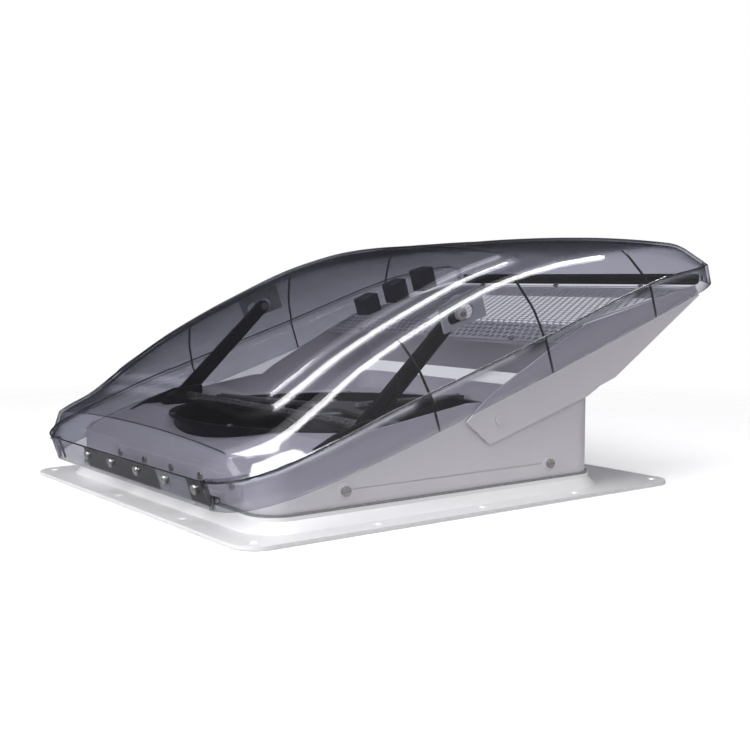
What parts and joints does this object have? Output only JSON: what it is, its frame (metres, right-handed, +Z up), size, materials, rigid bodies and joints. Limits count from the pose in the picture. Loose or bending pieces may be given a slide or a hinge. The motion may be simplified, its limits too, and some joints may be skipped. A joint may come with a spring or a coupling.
{
  "type": "roof vent",
  "caption": "Powered roof vent for a caravan: a smoke-tinted lid tilts open at the rear over a white housing, hood and fan on a screw-down flange.",
  "frame": {"origin": "centre of the flange's four corner screws, on the flange's underside, where it lies on the roof", "axes": "+X towards the end where the lid is raised, +Y across the vent, +Z up, away from the roof"},
  "size_m": [0.5416, 0.42, 0.2357],
  "materials": {
    "flange_white": "satin moulded, bright white",
    "white_plastic": "fine satin moulded, white",
    "screen_white": "perforated sheet, white powder coat",
    "screen_dark": "woven insect screen",
    "smoke_plastic": "clear smoke-tinted, glossy",
    "pale_plastic": "pale grey, slightly translucent",
    "black_plastic": "satin moulded, black",
    "fan_grey": "satin moulded, dark grey",
    "nylon": "natural nylon",
    "foam_rubber": "closed-cell foam, pale grey",
    "steel": "bright plated",
    "motor_metal": "black paint",
    "bracket_metal": "black powder coat"
  },
  "bodies": {
    "base": {"roof_flange": "flange_white", "curb_seal": "foam_rubber", "base_housing": "white_plastic", "side_screws": "steel", "side_washers": "white_plastic", "fan_shroud": "black_plastic", "shroud_screws": "steel", "bracket_screws": "steel", "motor_bracket": "bracket_metal", "fan_motor": "motor_metal", "motor_screws": "steel", "screen_frame": "white_plastic", "insect_screen": "screen_dark", "screen_clips": "black_plastic", "hinge_base_leaf": "white_plastic", "hinge_pin": "steel", "base_leaf_screws": "steel", "hood_pins": "white_plastic", "pivot_washers": "nylon", "gear_motor": "black_plastic", "gear_cover": "black_plastic", "control_box": "black_plastic", "shaft_bearing_near": "black_plastic", "shaft_bearing_far": "black_plastic"},
    "lid": {"smoke_lid": "smoke_plastic", "lid_blocks": "black_plastic", "rear_trim": "black_plastic", "hinge_strip_long": "black_plastic", "hinge_strip_pale": "pale_plastic", "hinge_strip_short": "black_plastic", "hinge_screws": "steel", "arm_track_near": "pale_plastic", "arm_track_far": "pale_plastic"},
    "hood": {"hood_frame": "white_plastic", "hood_screen": "screen_white", "hood_screws": "steel"},
    "lift": {"lift_shaft": "steel", "lift_arm_near": "black_plastic", "lift_arm_far": "black_plastic", "arm_rollers": "nylon", "roller_pins": "steel", "sector_gear": "nylon"},
    "pinion": {"drive_pinion": "nylon"},
    "fan": {"fan_impeller": "fan_grey", "fan_shaft": "steel", "fan_nut": "steel"}
  },
  "joints": [
    {"name": "lid_tilt", "type": "hinge", "parent": "base", "child": "lid", "pos_m": [-0.221, 0, 0.026], "axis": [0, 1, 0], "range_deg": [0, 17.8]},
    {"name": "hood_tilt", "type": "hinge", "parent": "base", "child": "hood", "pos_m": [0.033, 0, 0.073], "axis": [0, 1, 0], "range_deg": [0, 29]},
    {"name": "arm_swing", "type": "hinge", "parent": "base", "child": "lift", "pos_m": [-0.093, 0, 0.074], "axis": [0, 1, 0], "range_deg": [0, 36.7]},
    {"name": "pinion_spin", "type": "hinge", "parent": "base", "child": "pinion", "pos_m": [-0.1092, 0.149, 0.05086], "axis": [0, 1, 0], "range_deg": [-134.6, 0]},
    {"name": "fan_spin", "type": "hinge", "parent": "base", "child": "fan", "pos_m": [-0.012, 0, 0.036], "axis": [0, 0, 1], "continuous": true}
  ],
  "couplings": [
    {"joint": "hood_tilt", "follows": "lid_tilt", "ratio": 1.6292},
    {"joint": "arm_swing", "follows": "lid_tilt", "ratio": 2.0618},
    {"joint": "pinion_spin", "follows": "lid_tilt", "ratio": -7.5599}
  ]
}
